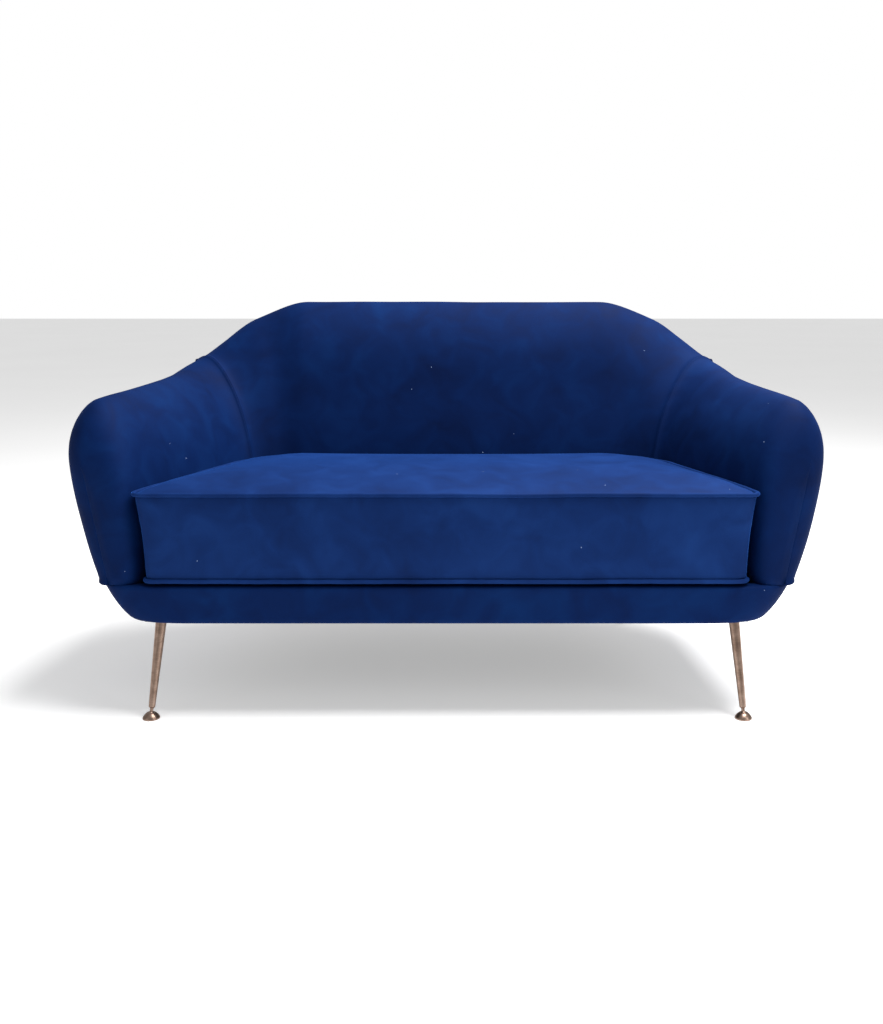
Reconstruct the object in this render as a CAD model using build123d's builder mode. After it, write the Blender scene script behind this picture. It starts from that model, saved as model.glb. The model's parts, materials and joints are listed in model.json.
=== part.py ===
"""Curved two-seat sofa: a padded horseshoe shell, a loose piped cushion and four slim metal legs.

Millimetres. +X is to the right seen from the front, the front faces -Y, +Z is up.
The origin is on the floor, under the middle of the overall box.
"""
import os
from math import cos, radians, sin

from build123d import *

# ---------------------------------------------------------------- driving dimensions
CORNER_X = 350          # half the straight run of the back; each corner turns about this point
SEAM_TURN = 50          # degrees round the corner at which back and arm covers meet
ARM_TURN = 74           # degrees through which the shell turns from back to arm
ARM_RUN = 345           # straight length of an arm after its corner
NOSE = 80               # how far the padded nose stands in front of the arm's last full section

BASE_BOTTOM = 200       # underside of the upholstered base
COVER = 2               # velvet with its lining
FOAM_GAP = 4            # between a cover and the foam it covers
TUCK_Z = 275            # height at which the inside covers tuck in round the deck
SEAM_GAP = 0.5          # half the gap between two panels that meet at a seam

RAIL_BOTTOM = 203
RAIL_TOP = 256
WOOD = 25               # thickness of the beech rails
STRAP_THICK = 2
STRAP_WIDE = 50

RAIL_FRONT = -354       # front face of the front rail
RAIL_BACK = 282         # back face of the back rail

BORDER_FRONT = -376     # front face of the border under the cushion
BORDER_HALF = 676       # half the border's width at its top
BORDER_BACK = -238      # where the border ends round the corner, under the arm
BORDER_FOAM = 10
BORDER_CORNER = 85      # plan radius of its corners
DECK_HALF_FRONT = 585   # half the deck's width at the front

CUSHION_BOTTOM = 281
CUSHION_TOP = 455       # height of the top piping
CUSHION_FRONT = -372
CUSHION_BACK = 110
CROWN = 26              # how far the middle of the cushion rises above its piping
FOAM_FOOT = 24          # how far the cushion's foam is drawn in at its foot
PIPING_R = 4.5

FRONT_LEG = ((573, -302), (590, -356))   # plan positions of a leg's top and of its foot
BACK_LEG = ((424, 231), (444, 312))
LEG_R_TOP = 11
LEG_R_FOOT = 6.5
PLATE = 42
SCREW_SPREAD = 28       # spacing of a plate's screws
BLOCK = 50              # leg block let into the rails
BLOCK_TOP = 229
SCREW_R = 1.9
SCREW_TOP = 221
STUD_R = 4
STUD_TOP = 225
PIVOT_Z = 9             # centre of the ball in the foot
BALL_R = 6.5
NECK_R = 3.5
SOCKET_R = 6.8
FOOT_R = 17

# Upright sections of the shell, as (distance out from the plan line, height): up the inside,
# over the crest and down the outside.
MIDDLE = [(122, 275), (135, 450), (168, 620), (215, 755), (275, 806),
          (335, 758), (374, 580), (367, 380), (340, 250), (304, 200)]
SHOULDER = [(132, 275), (145, 450), (180, 602), (232, 714), (303, 765),
            (363, 718), (390, 562), (375, 380), (336, 250), (294, 200)]
SEAM = [(142, 275), (155, 450), (188, 554), (240, 634), (308, 678),
        (368, 640), (393, 530), (370, 380), (318, 250), (262, 200)]
ARM_BACK = [(141, 275), (150, 450), (174, 537), (222, 613), (280, 648),
            (334, 616), (361, 522), (338, 380), (286, 250), (225, 200)]
ARM_FRONT = [(146, 275), (152, 450), (165, 530), (196, 596), (238, 628),
             (277, 598), (294, 510), (275, 380), (230, 262), (182, 200)]
# Foam depth behind the cover at each of those points.
FOAM_DEPTH = [14, 36, 38, 34, 30, 18, 11, 11, 11, 11]

os.makedirs("parts", exist_ok=True)


# ---------------------------------------------------------------- helpers
def save(builder, name):
    """Label a finished piece and write it under its node name."""
    builder.part.label = name
    export_step(builder.part, f"parts/{name}.step")


def save_pair(builder, name):
    """Write a right-hand piece and its mirror image on the left."""
    save(builder, f"{name}_right")
    with BuildPart() as other:
        add(mirror(builder.part, about=Plane.YZ, mode=Mode.PRIVATE))
    save(other, f"{name}_left")


def station(turn, along):
    """Upright plane square to the plan line, with its x axis pointing out of the sofa.

    On the back turn is 0 and along is x. In a corner along is 0. On an arm turn is ARM_TURN
    and along is the distance forward from the end of the corner.
    """
    a = radians(turn)
    out = Vector(sin(a), cos(a), 0)
    forward = Vector(cos(a), -sin(a), 0)
    start = Vector(0, 0, 0)
    if turn:
        start = Vector(CORNER_X if turn > 0 else -CORNER_X, 0, 0)
    return Plane(origin=start + forward * along, x_dir=out, z_dir=forward)


def mix(first, second, share):
    """Section part of the way from one section to another."""
    return [((1 - share) * a + share * c, (1 - share) * b + share * d)
            for (a, b), (c, d) in zip(first, second)]


def inset(points, depths):
    """Move each point of a section inwards, square to the curve, by its own depth."""
    moved = []
    last = len(points) - 1
    for i, (out, up) in enumerate(points):
        before = points[max(i - 1, 0)]
        after = points[min(i + 1, last)]
        run = Vector(after[0] - before[0], after[1] - before[1]).normalized()
        moved.append((out + run.Y * depths[i], up - run.X * depths[i]))
    return moved


def nose_section(points, reach):
    """Arm section drawn in towards an upright line, for the rounded front of the arm.

    reach is 0 at the arm's last full section and 1 at its foremost line.
    """
    width = (1 - reach ** 2.4) ** (1 / 2.4)
    tall = (1 - reach ** 2) ** 0.5
    drawn = []
    for out, up in points:
        line_up = min(up, 450) + 0.28 * max(up - 450, 0)
        line_out = 198 + 0.18 * (line_up - 275)
        drawn.append((line_out + (out - line_out) * width, line_up + (up - line_up) * tall))
    return drawn


CORNER = [(12.5, 0, mix(MIDDLE, SHOULDER, 0.5)), (25, 0, SHOULDER), (37.5, 0, mix(SHOULDER, SEAM, 0.5)),
          (SEAM_TURN, 0, SEAM)]
OTHER_CORNER = [(-turn, along, points) for turn, along, points in reversed(CORNER)]
BACK_STATIONS = [*OTHER_CORNER, (0, -CORNER_X, MIDDLE), (0, -120, MIDDLE), (0, 120, MIDDLE),
                 (0, CORNER_X, MIDDLE), *CORNER]
ARM_STATIONS = [(SEAM_TURN + (ARM_TURN - SEAM_TURN) * share, 0, mix(SEAM, ARM_BACK, share))
                for share in (0, 1 / 3, 2 / 3, 1)]
ARM_STATIONS += [(ARM_TURN, ARM_RUN * share, mix(ARM_BACK, ARM_FRONT, share))
                 for share in (0.25, 0.5, 0.75, 1)]
NOSE_STEPS = [0.25, 0.48, 0.68, 0.82, 0.92]   # shares of NOSE


def section_faces(stations, depths, corners):
    """Faces of a section at each station. corners(first, last) closes each curve under the shell."""
    faces = []
    for turn, along, points in stations:
        curve = inset(points, depths)
        first, last = curve[0], curve[-1]
        with BuildSketch(station(turn, along)) as section:
            with BuildLine():
                Spline(*curve)
                Polyline(last, *corners(first, last), first)
            make_face()
        faces.append(section.sketch)
    return faces


def skin(stations, depth):
    """Sections of everything inside a skin at the given depth."""
    low = BASE_BOTTOM - 2
    return section_faces(stations, [depth] * len(MIDDLE),
                         lambda first, last: [(last[0], low), (first[0], low)])


def hollow(stations, depths):
    """Sections of the space inside a wall, open below and, under TUCK_Z, towards the seat."""
    low = BASE_BOTTOM - 12
    return section_faces(stations, depths,
                         lambda first, last: [(last[0], low), (80, low), (80, first[1])])


def with_nose(stations, depth):
    """Arm stations with the rounded nose added, shortened by the skin's depth."""
    turn, along, points = stations[-1]
    nose = [(turn, along + (NOSE - depth) * step, nose_section(points, step)) for step in NOSE_STEPS]
    return stations + nose


def below_base():
    """What the underside and the front border's corners take away from the shell."""
    with BuildPart() as cutter:
        with Locations((0, 0, BASE_BOTTOM - 50)):
            Box(2000, 2000, 100)
        with Locations((0, BORDER_BACK - 100, TUCK_Z + 1 - 50)):
            Box(2000, 200, 100)
    return cutter.part


# ---------------------------------------------------------------- shell: covers and foam
ARM_SHELL = with_nose(ARM_STATIONS, 0)
ARM_LINING = with_nose(ARM_STATIONS, COVER)
ARM_PADDING = with_nose(ARM_STATIONS, COVER + FOAM_GAP)
FOAM_OUT = COVER + FOAM_GAP
FACETS = 26             # flats that the foam is cut in, round a section
FOAM_IN = [FOAM_OUT + depth for depth in FOAM_DEPTH]
ARM_PANEL_OUT = 176     # the outside arm panel lies further out than this from the plan line,
ARM_PANEL_TOP = 500     # below this height, the arm's widest line,
ARM_PANEL_RUN = 290     # and behind this distance along the arm


with BuildPart() as back_shell:
    loft(skin(BACK_STATIONS, 0), ruled=True)
    loft(hollow(BACK_STATIONS, [COVER] * len(MIDDLE)), ruled=True, mode=Mode.SUBTRACT)
    add(below_base(), mode=Mode.SUBTRACT)

with BuildPart() as arm_shell:
    loft(skin(ARM_SHELL, 0), ruled=True)
    loft(hollow(ARM_LINING, [COVER] * len(MIDDLE)), ruled=True, mode=Mode.SUBTRACT)
    add(below_base(), mode=Mode.SUBTRACT)

def facets(points):
    """Evenly spaced corners along a smooth curve through some points."""
    curve = Spline(*points, mode=Mode.PRIVATE)
    return [curve @ (i / FACETS) for i in range(FACETS + 1)]


def band_faces(stations):
    """Flat-sided sections of the foam, from just inside the cover to the foam's own depth."""
    faces = []
    for turn, along, points in stations:
        near = facets(inset(points, [FOAM_OUT] * len(points)))
        deep = facets(inset(points, FOAM_IN))
        with BuildSketch(station(turn, along)) as section:
            with BuildLine():
                Polyline(*near, *reversed(deep), close=True)
            make_face()
        faces.append(section.sketch)
    return faces


def padding_faces(stations):
    """Sections of the solid foam in the rounded front of an arm, down to the base."""
    low = BASE_BOTTOM - 2
    faces = []
    for turn, along, points in stations:
        near = facets(inset(points, [FOAM_OUT] * len(points)))
        with BuildSketch(station(turn, along)) as section:
            with BuildLine():
                Polyline(*near, (near[-1].X, low), (near[0].X, low), close=True)
            make_face()
        faces.append(section.sketch)
    return faces


with BuildPart() as back_foam:
    loft(band_faces(BACK_STATIONS), ruled=True)
    add(below_base(), mode=Mode.SUBTRACT)
save(back_foam, "back_foam")

with BuildPart() as arm_foam:
    loft(band_faces(ARM_STATIONS), ruled=True)
    loft(padding_faces(ARM_PADDING[len(ARM_STATIONS) - 1:]), ruled=True)
    add(below_base(), mode=Mode.SUBTRACT)
save_pair(arm_foam, "arm_foam")


def behind_crest(gap):
    """Everything outside an upright sheet that runs round the back behind its crest."""
    faces = []
    for turn, along, points in BACK_STATIONS:
        crest, outer = points[4], points[5]
        near = (crest[0] + outer[0]) / 2 - gap
        low = crest[1] - 60
        with BuildSketch(station(turn, along)) as section:
            with BuildLine():
                Polyline((near, 900), (near, low), (210, 330), (210, 150), (600, 150), (600, 900), close=True)
            make_face()
        faces.append(section.sketch)
    return faces


with BuildPart() as inside_back_cover:
    add(back_shell.part)
    loft(behind_crest(SEAM_GAP), ruled=True, mode=Mode.SUBTRACT)
save(inside_back_cover, "inside_back_cover")

with BuildPart() as outside_back_cover:
    add(back_shell.part)
    loft(behind_crest(0), ruled=True, mode=Mode.INTERSECT)
save(outside_back_cover, "outside_back_cover")


def outside_arm_block(gap):
    """Block round the part of the arm that the outside panel covers."""
    arm = station(ARM_TURN, 0)
    height = ARM_PANEL_TOP + gap
    with BuildPart() as block:
        with BuildSketch(arm.offset(-600)):
            with Locations((ARM_PANEL_OUT - gap + 300, height / 2)):
                Rectangle(600, height)
        extrude(amount=600 + ARM_PANEL_RUN + gap)
    return block.part


with BuildPart() as inside_arm_cover:
    add(arm_shell.part)
    add(outside_arm_block(SEAM_GAP), mode=Mode.SUBTRACT)
save_pair(inside_arm_cover, "inside_arm_cover")

with BuildPart() as outside_arm_cover:
    add(arm_shell.part)
    add(outside_arm_block(0), mode=Mode.INTERSECT)
save_pair(outside_arm_cover, "outside_arm_cover")


# ---------------------------------------------------------------- front border
def border_block(depth):
    """The border's outside, drawn in by a depth: a front outline met by a plan outline."""
    low = BASE_BOTTOM + depth
    high = TUCK_Z - depth
    side = BORDER_HALF - depth
    front = BORDER_FRONT + depth
    corner = BORDER_CORNER - depth
    with BuildPart() as block:
        with BuildSketch(Plane.XZ):
            with BuildLine():
                Polyline((side, high), (0, high), (0, low), (605 - depth, low))
                Spline((605 - depth, low), (647 - depth, low + 26), (side, high))
            make_face()
            mirror(about=Plane.YZ)
        extrude(amount=-front)
        with BuildSketch():
            with BuildLine():
                Polyline((side, front + corner), (side, BORDER_BACK), (0, BORDER_BACK), (0, front),
                         (side - corner, front))
                RadiusArc((side, front + corner), (side - corner, front), corner)
            make_face()
            mirror(about=Plane.YZ)
        extrude(amount=300, mode=Mode.INTERSECT)
    return block.part


def border_openings(depth, under_edge):
    """Room over the deck and under the leg blocks, behind the border's turned-in edges."""
    over_edge = RAIL_FRONT + 9
    with BuildPart() as room:
        with Locations((0, over_edge + 100, TUCK_Z)):
            Box(2 * DECK_HALF_FRONT + 40, 200, 2 * depth + 10)
        with Locations((0, under_edge + 100, BASE_BOTTOM)):
            Box(2 * 608, 200, 2 * (BLOCK_TOP + 2 - BASE_BOTTOM))
    return room.part


with BuildPart() as border_cover:
    add(border_block(0))
    add(border_block(COVER), mode=Mode.SUBTRACT)
    add(border_openings(COVER, RAIL_FRONT + 9), mode=Mode.SUBTRACT)
save(border_cover, "border_cover")

with BuildPart() as border_foam:
    add(border_block(FOAM_OUT))
    add(border_block(FOAM_OUT + BORDER_FOAM), mode=Mode.SUBTRACT)
    add(border_openings(FOAM_OUT + BORDER_FOAM, RAIL_FRONT - 1), mode=Mode.SUBTRACT)
save(border_foam, "border_foam")


# ---------------------------------------------------------------- beech frame
SIDE_RAIL = ((508, 120), (575, -326.5))      # centre line of a side rail, back to front
CORNER_RAIL = ((402, 269), (505, 126))     # and of the rail that cuts the back corner


BACK_RAIL_HALF = 386


def leg_sites():
    """(name, top, foot) of the two right-hand legs."""
    return [("front", *FRONT_LEG), ("back", *BACK_LEG)]


def block_room(gap):
    """The two right-hand leg blocks as solids, grown by a gap."""
    with BuildPart() as room:
        for name, top, foot in leg_sites():
            with BuildSketch(Plane.XY.offset(RAIL_BOTTOM - gap)):
                with Locations(top):
                    Rectangle(BLOCK + 2 * gap, BLOCK + 2 * gap)
            extrude(amount=BLOCK_TOP - RAIL_BOTTOM + 2 * gap)
    return room.part


def leg_plane(top, foot):
    """Upright plane through a leg's axis: origin at the ball, y up the leg."""
    ball = Vector(foot[0], foot[1], PIVOT_Z)
    axis = (Vector(top[0], top[1], BASE_BOTTOM) - ball).normalized()
    side = axis.cross(Vector(0, 0, 1)).normalized()
    return Plane(origin=ball, x_dir=side, z_dir=side.cross(axis))


def stud_room(radius):
    """Sloping holes on the axes of the right-hand legs."""
    with BuildPart() as room:
        for name, top, foot in leg_sites():
            axis_plane = leg_plane(top, foot)
            with BuildSketch(Plane(origin=axis_plane.origin, z_dir=axis_plane.y_dir)):
                Circle(radius)
            extrude(amount=260)
        with Locations((0, 0, 500 + STUD_TOP + 2)):
            Box(2000, 2000, 1000, mode=Mode.SUBTRACT)
        with Locations((0, 0, BASE_BOTTOM - 500)):
            Box(2000, 2000, 1000, mode=Mode.SUBTRACT)
    return room.part


def screw_room(radius, low, high):
    """Upright cylinders on the screws of the right-hand leg plates."""
    with BuildPart() as room:
        for name, top, foot in leg_sites():
            with BuildSketch(Plane.XY.offset(low)):
                with Locations(top):
                    with GridLocations(SCREW_SPREAD, SCREW_SPREAD, 2, 2):
                        Circle(radius)
            extrude(amount=high - low)
    return room.part


def plank(start, end, low, high):
    """Straight board of WOOD thickness along a plan centre line."""
    first, last = Vector(*start), Vector(*end)
    run = (last - first).normalized()
    half = Vector(-run.Y, run.X) * (WOOD / 2)
    with BuildPart() as board:
        with BuildSketch(Plane.XY.offset(low)):
            with BuildLine():
                Polyline(first + half, last + half, last - half, first - half, close=True)
            make_face()
        extrude(amount=high - low)
    return board.part


with BuildPart() as front_rail:
    with Locations((0, RAIL_FRONT + WOOD / 2, (RAIL_BOTTOM + RAIL_TOP) / 2)):
        Box(2 * 572, WOOD, RAIL_TOP - RAIL_BOTTOM)
    chamfer(front_rail.edges().filter_by(Axis.X).group_by(Axis.Y)[0], 3)
save(front_rail, "front_rail")

with BuildPart() as back_rail:
    with Locations((0, RAIL_BACK - WOOD / 2, (RAIL_BOTTOM + RAIL_TOP) / 2)):
        Box(2 * BACK_RAIL_HALF, WOOD, RAIL_TOP - RAIL_BOTTOM)
save(back_rail, "back_rail")

with BuildPart() as side_rail:
    add(plank(*SIDE_RAIL, RAIL_BOTTOM, RAIL_TOP + STRAP_THICK + 0.5))
    add(block_room(0.2), mode=Mode.SUBTRACT)
save_pair(side_rail, "side_rail")

with BuildPart() as corner_rail:
    add(plank(*CORNER_RAIL, RAIL_BOTTOM, RAIL_TOP))
    add(block_room(0.2), mode=Mode.SUBTRACT)
    with Locations((0, RAIL_BACK - 50 + 0.2, RAIL_TOP)):
        Box(2 * BACK_RAIL_HALF, 100, 200, mode=Mode.SUBTRACT)
save_pair(corner_rail, "corner_rail")

with BuildPart() as leg_blocks:
    add(block_room(0))
    add(stud_room(STUD_R + 1), mode=Mode.SUBTRACT)
    add(screw_room(SCREW_R + 0.1, RAIL_BOTTOM - 5, SCREW_TOP + 1), mode=Mode.SUBTRACT)
    mirror(about=Plane.YZ)
save(leg_blocks, "leg_blocks")

with BuildPart() as centre_stretcher:
    depth = RAIL_BACK - RAIL_FRONT - 2 * WOOD
    with Locations((0, (RAIL_BACK + RAIL_FRONT) / 2, RAIL_BOTTOM + 20)):
        Box(WOOD, depth, 40)
save(centre_stretcher, "centre_stretcher")

# Uprights of the back, sawn to follow the slope of the padding.
with BuildPart() as back_upright:
    with BuildSketch(Plane.YZ.offset(200 - WOOD / 2)):
        with BuildLine():
            Polyline((178.5, RAIL_TOP), (178.5, 330), (184, 440), (217, 610), (262, 721),
                     (298, 721), (318, 570), (300, 300), (RAIL_BACK, RAIL_TOP), close=True)
        make_face()
    extrude(amount=WOOD)
save_pair(back_upright, "back_upright")

with BuildPart() as back_tack_rail:
    with Locations((0, 170.5, 308)):
        Box(2 * 335, 15, 36)
save(back_tack_rail, "back_tack_rail")


def top_rail(stations):
    """Board that follows the crest inside the padding."""
    faces = []
    for turn, along, points in stations:
        out, up = points[4]
        with BuildSketch(station(turn, along)) as section:
            with Locations((out + 3, up - 74)):
                Rectangle(30, 20)
        faces.append(section.sketch)
    return faces


with BuildPart() as crest_rail:
    loft(top_rail([(0, -CORNER_X, MIDDLE), (0, CORNER_X, MIDDLE)]))
save(crest_rail, "crest_rail")

with BuildPart() as shoulder_rail:
    loft(top_rail([(0, CORNER_X + 0.1, MIDDLE), *CORNER]))
save_pair(shoulder_rail, "shoulder_rail")

with BuildPart() as arm_rail:
    loft(top_rail([(SEAM_TURN + 0.1, 0, SEAM), *ARM_STATIONS[1:-1], (ARM_TURN, ARM_RUN - 15, ARM_FRONT)]))
save_pair(arm_rail, "arm_rail")

with BuildPart() as corner_post:
    with BuildSketch(station(SEAM_TURN, -20)):
        with BuildLine():
            Polyline((216, 228), (242, 228), (300, 400), (322, 588), (292, 588), (264, 440), (216, 300),
                     close=True)
        make_face()
    extrude(amount=40)
save_pair(corner_post, "corner_post")

with BuildPart() as arm_post:
    with BuildSketch(station(ARM_TURN, 238)):
        with BuildLine():
            Polyline((158, 228), (180, 228), (254, 546.5), (230, 546.5), (175, 280), (158, 262), close=True)
        make_face()
    extrude(amount=45)
save_pair(arm_post, "arm_post")


# ---------------------------------------------------------------- suspension and deck
with BuildPart() as seat_straps_long:
    with Locations((0, (RAIL_FRONT + RAIL_BACK) / 2, RAIL_TOP + STRAP_THICK / 2)):
        with GridLocations(120, 1, 7, 1):
            Box(STRAP_WIDE, RAIL_BACK - RAIL_FRONT - 4, STRAP_THICK)
save(seat_straps_long, "seat_straps_long")

with BuildPart() as seat_straps_cross:
    for row in range(4):
        y = 60 - 95 * row
        half = SIDE_RAIL[0][0] + (SIDE_RAIL[0][1] - y) * 0.149 + 8
        with Locations((0, y, RAIL_TOP + 1.5 * STRAP_THICK + 0.5)):
            Box(2 * half, STRAP_WIDE, STRAP_THICK)
save(seat_straps_cross, "seat_straps_cross")

with BuildPart() as back_straps:
    with BuildSketch(Plane.YZ):
        with BuildLine():
            Polyline((162.5, 292), (162.5, 330), (259.5, 706), (259.5, 740), (257.5, 740), (257.5, 707), (160.5, 331),
                     (160.5, 292), close=True)
        make_face()
    extrude(amount=STRAP_WIDE / 2, both=True)
    strap = back_straps.part
    with Locations((-240, 0, 0), (-120, 0, 0), (120, 0, 0), (240, 0, 0)):
        add(strap)
save(back_straps, "back_straps")

DECK_CORNERS = [(DECK_HALF_FRONT - 20, RAIL_FRONT + 10), (468, 36), (388, 110)]


def deck_sheet(drawn_in, low, high):
    """Flat layer that fills the seat between the inside covers."""
    right = [(x - drawn_in, y) for x, y in DECK_CORNERS]
    left = [(-x, y) for x, y in reversed(right)]
    with BuildPart() as sheet:
        with BuildSketch(Plane.XY.offset(low)):
            with BuildLine():
                Polyline(*right, *left, close=True)
            make_face()
        extrude(amount=high - low)
    return sheet.part


DECK_LOW = RAIL_TOP + 2 * STRAP_THICK + 1
DECK_PAD = 9
with BuildPart() as deck_pad:
    add(deck_sheet(2, DECK_LOW, DECK_LOW + DECK_PAD))
save(deck_pad, "deck_pad")

with BuildPart() as deck_cloth:
    add(deck_sheet(0, DECK_LOW + DECK_PAD + 0.3, DECK_LOW + DECK_PAD + 1.5))
save(deck_cloth, "deck_cloth")


# ---------------------------------------------------------------- loose seat cushion
def cushion_plan(drawn_in, height):
    """Plan of the cushion at a height: straight front, sides that follow the arms, cut back corners."""
    right = [(603 - drawn_in, CUSHION_FRONT + drawn_in), (580 - drawn_in, -290 + 0.8 * drawn_in),
             (480 - drawn_in, 40),
             (398 - drawn_in, CUSHION_BACK - drawn_in)]
    left = [(-x, y) for x, y in reversed(right)]
    with BuildSketch(Plane.XY.offset(height)) as plan:
        with BuildLine():
            Polyline(*right, *left, close=True)
        make_face()
        fillet(plan.vertices().group_by(Axis.Y)[1], 100)
        fillet(plan.vertices().group_by(Axis.Y)[0], 22)
        fillet(plan.vertices().group_by(Axis.Y)[-1], 60)
        fillet(plan.vertices().filter_by_position(Axis.Y, 35, 45), 60)
    return plan.sketch


def crown(drawn_in, height, rise):
    """Domed top of the cushion above a height."""
    steps = [(0, 0), (50, 0.7), (140, 1.0)]
    return [cushion_plan(drawn_in + more, height + rise * share) for more, share in steps]


with BuildPart() as cushion_border:
    add(cushion_plan(0, CUSHION_BOTTOM + 10))
    extrude(amount=CUSHION_TOP - CUSHION_BOTTOM - 15)
    add(cushion_plan(COVER, CUSHION_BOTTOM))
    extrude(amount=CUSHION_TOP - CUSHION_BOTTOM, mode=Mode.SUBTRACT)
save(cushion_border, "cushion_border")

with BuildPart() as cushion_top:
    loft(crown(7, CUSHION_TOP, CROWN), ruled=True)
    loft(crown(7 + COVER, CUSHION_TOP - COVER, CROWN), ruled=True, mode=Mode.SUBTRACT)
save(cushion_top, "cushion_top")

with BuildPart() as cushion_underside:
    add(cushion_plan(7, CUSHION_BOTTOM))
    extrude(amount=COVER)
save(cushion_underside, "cushion_underside")

with BuildPart() as cushion_foam:
    loft([cushion_plan(FOAM_FOOT, CUSHION_BOTTOM + COVER + 1), cushion_plan(6.5 + COVER, CUSHION_TOP - COVER - 1.5)],
         ruled=True)
    loft(crown(6.5 + COVER, CUSHION_TOP - COVER - 1.5, CROWN - 6), ruled=True)
save(cushion_foam, "cushion_foam")


def piping(height):
    """Round covered cord along the edge of the cushion."""
    with BuildPart() as cord:
        path = cushion_plan(1, height).faces()[0].outer_wire()
        with BuildSketch(Plane(origin=path @ 0, z_dir=path % 0)):
            Circle(PIPING_R)
        sweep(path=path)
    return cord


save(piping(CUSHION_TOP), "piping_top")
save(piping(CUSHION_BOTTOM + PIPING_R), "piping_bottom")

ZIP_Z = 374
ZIP_HALF = 330
with BuildPart() as zip_tape:
    with Locations((0, CUSHION_BACK + 0.9, ZIP_Z)):
        Box(2 * ZIP_HALF, 1.2, 26)
    with Locations((0, CUSHION_BACK + 2.2, ZIP_Z)):
        Box(2 * ZIP_HALF, 1.4, 6)
save(zip_tape, "zip_tape")

with BuildPart() as zip_slider:
    with Locations((8 - ZIP_HALF, CUSHION_BACK + 4.2, ZIP_Z)):
        Box(11, 2, 8)
    with Locations((8 - ZIP_HALF, CUSHION_BACK + 5.8, ZIP_Z - 8)):
        Box(5, 1.2, 22)
    fillet(zip_slider.edges().filter_by(Axis.Y), 1.2)
save(zip_slider, "zip_slider")


# ---------------------------------------------------------------- legs and feet
with BuildPart() as leg_plates:
    for name, top, foot in leg_sites():
        with BuildSketch(Plane.XY.offset(BASE_BOTTOM)):
            with Locations(top):
                RectangleRounded(PLATE, PLATE, 5)
        extrude(amount=RAIL_BOTTOM - BASE_BOTTOM)
    add(stud_room(STUD_R + 0.3), mode=Mode.SUBTRACT)
    add(screw_room(SCREW_R + 0.3, BASE_BOTTOM - 5, RAIL_BOTTOM + 5), mode=Mode.SUBTRACT)
    mirror(about=Plane.YZ)
save(leg_plates, "leg_plates")

with BuildPart() as plate_screws:
    add(screw_room(SCREW_R, BASE_BOTTOM, SCREW_TOP))
    add(screw_room(2 * SCREW_R, BASE_BOTTOM - 2, BASE_BOTTOM))
    mirror(about=Plane.YZ)
save(plate_screws, "plate_screws")

def tapered_leg(top, foot):
    """Turned tube from the ball up to the plate, without its stud."""
    axis_plane = leg_plane(top, foot)
    with BuildPart() as body:
        with BuildSketch(axis_plane):
            with BuildLine():
                Polyline((0, 0), (0, 230), (LEG_R_TOP + 1, 230), (LEG_R_FOOT, 14), (NECK_R, 11), (NECK_R, 0),
                         close=True)
            make_face()
        revolve(axis=Axis(axis_plane.origin, axis_plane.y_dir))
        split(bisect_by=Plane.XY.offset(BASE_BOTTOM), keep=Keep.BOTTOM)
        with Locations(axis_plane.origin):
            Sphere(BALL_R)
    return body.part


def leg_stud(top, foot):
    """Stud on the leg's axis, up through its plate into the leg block."""
    axis_plane = leg_plane(top, foot)
    with BuildPart() as stud:
        with BuildSketch(Plane(origin=axis_plane.origin + axis_plane.y_dir * 180, z_dir=axis_plane.y_dir)):
            Circle(STUD_R)
        extrude(amount=80)
        split(bisect_by=Plane.XY.offset(STUD_TOP), keep=Keep.BOTTOM)
    return stud.part


for name, top, foot in leg_sites():
    with BuildPart() as leg:
        add(tapered_leg(top, foot))
        add(leg_stud(top, foot))
    save_pair(leg, f"{name}_leg")

    with BuildPart() as foot_disc:
        with BuildSketch(Plane.XZ.offset(-foot[1])):
            with BuildLine():
                Polyline((foot[0], 12), (foot[0], 0), (foot[0] + FOOT_R, 0), (foot[0] + FOOT_R, 2.4))
                RadiusArc((foot[0] + FOOT_R, 2.4), (foot[0] + 8.6, 12), -26)
                Line((foot[0] + 8.6, 12), (foot[0], 12))
            make_face()
        revolve(axis=Axis((foot[0], foot[1], 0), (0, 0, 1)))
        with Locations((foot[0], foot[1], PIVOT_Z)):
            Sphere(SOCKET_R, mode=Mode.SUBTRACT)
    save_pair(foot_disc, f"{name}_foot")


# ---------------------------------------------------------------- underside
def plan_point(turn, along, out):
    """Plan position of a point this far out from the plan line."""
    place = station(turn, along)
    spot = place.origin + place.x_dir * out
    return (spot.X, spot.Y)


def underside_outline(drawn_in):
    """Right half of the base's underside, from the back to the front."""
    rounds = [plan_point(turn, along, points[9][0] - drawn_in) for turn, along, points in
              [(0, CORNER_X, MIDDLE), (25, 0, SHOULDER), (SEAM_TURN, 0, SEAM), (ARM_TURN, 0, ARM_BACK),
               (ARM_TURN, 0.8 * ARM_RUN, ARM_FRONT)]]
    front = BORDER_FRONT + 14 + drawn_in
    return [(0, MIDDLE[9][0] - drawn_in), *rounds, (600 - drawn_in, front), (0, front)]


with BuildPart() as dust_cover:
    with BuildSketch(Plane.XY.offset(BASE_BOTTOM - 1.1)):
        with BuildLine():
            Polyline(*underside_outline(9), close=True)
        make_face()
        mirror(about=Plane.YZ)
    extrude(amount=1)
    with BuildSketch(Plane.XY.offset(BASE_BOTTOM - 1.1)):
        for name, top, foot in leg_sites():
            with Locations(top, (-top[0], top[1])):
                RectangleRounded(PLATE + 2, PLATE + 2, 5)
    extrude(amount=1, mode=Mode.SUBTRACT)
save(dust_cover, "dust_cover")

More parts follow.
